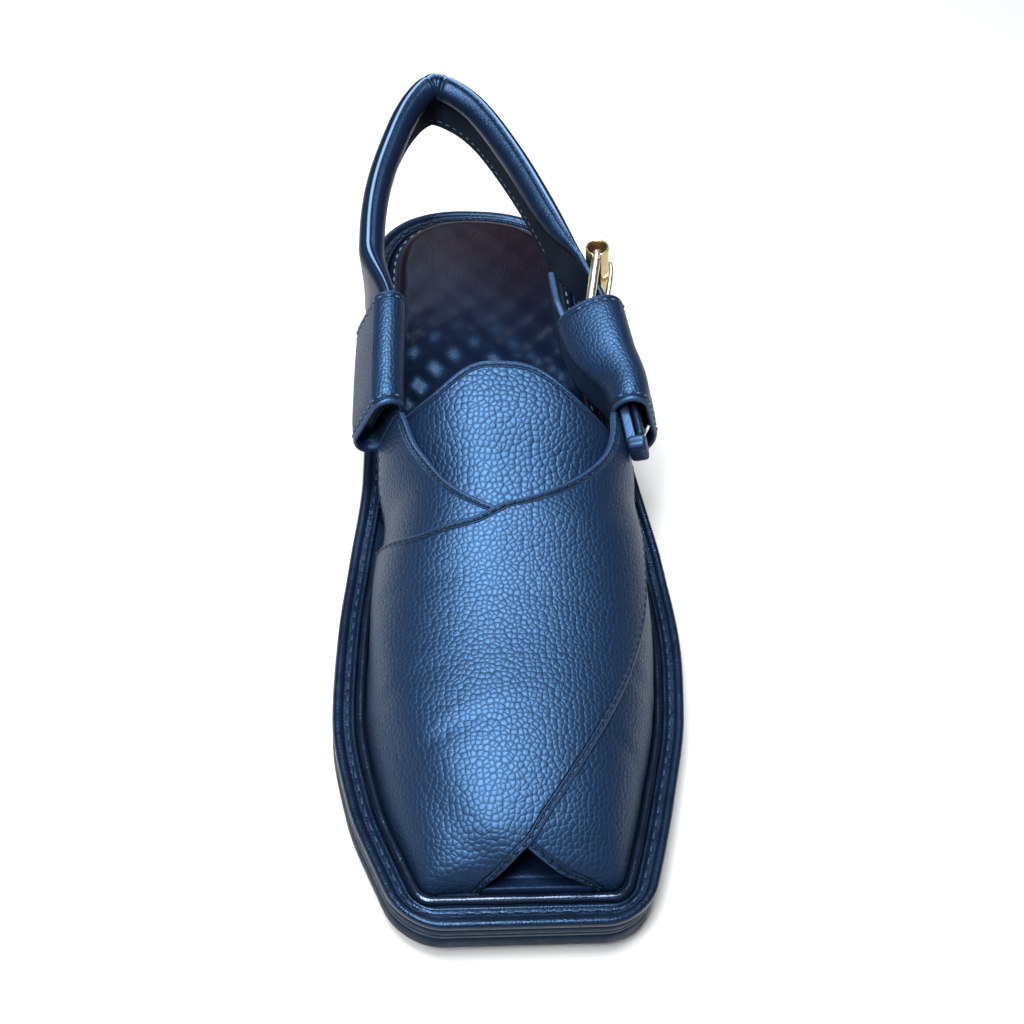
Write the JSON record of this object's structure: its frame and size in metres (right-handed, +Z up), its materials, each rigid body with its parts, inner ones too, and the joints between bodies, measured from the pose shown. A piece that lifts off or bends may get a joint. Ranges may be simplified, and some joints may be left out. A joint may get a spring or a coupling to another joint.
{
  "type": "crossed-strap chappal",
  "caption": "Left leather chappal: two broad crossed straps over a tongue, square-toed layered sole, padded heel strap with a roller buckle.",
  "frame": {"origin": "middle of the whole shoe's footprint, on the floor", "axes": "+Z up, +Y from the toe to the heel, +X to the outer, little-toe side"},
  "size_m": [0.1122, 0.3, 0.098],
  "materials": {
    "grain_leather": "pebbled navy leather, soft sheen",
    "smooth_leather": "fine-grained navy leather, glossy",
    "footbed_leather": "smooth padded insole leather, satin",
    "welt_leather": "polished rim with a tone-on-tone stitch row",
    "sole_edge": "dyed and polished sole edge, satin",
    "gold_metal": "pale gold plate, polished"
  },
  "bodies": {
    "root": {"outsole": "sole_edge", "heel": "sole_edge", "midsole": "sole_edge", "welt": "welt_leather", "rand": "welt_leather", "footbed": "footbed_leather", "heel_pad": "footbed_leather", "upper": "grain_leather", "tongue": "grain_leather", "heel_strap": "smooth_leather", "buckle_frame": "gold_metal", "buckle_roller": "gold_metal", "buckle_prong": "gold_metal", "buckle_strap": "grain_leather", "guard_tab": "grain_leather", "end_ring": "gold_metal"}
  },
  "joints": []
}
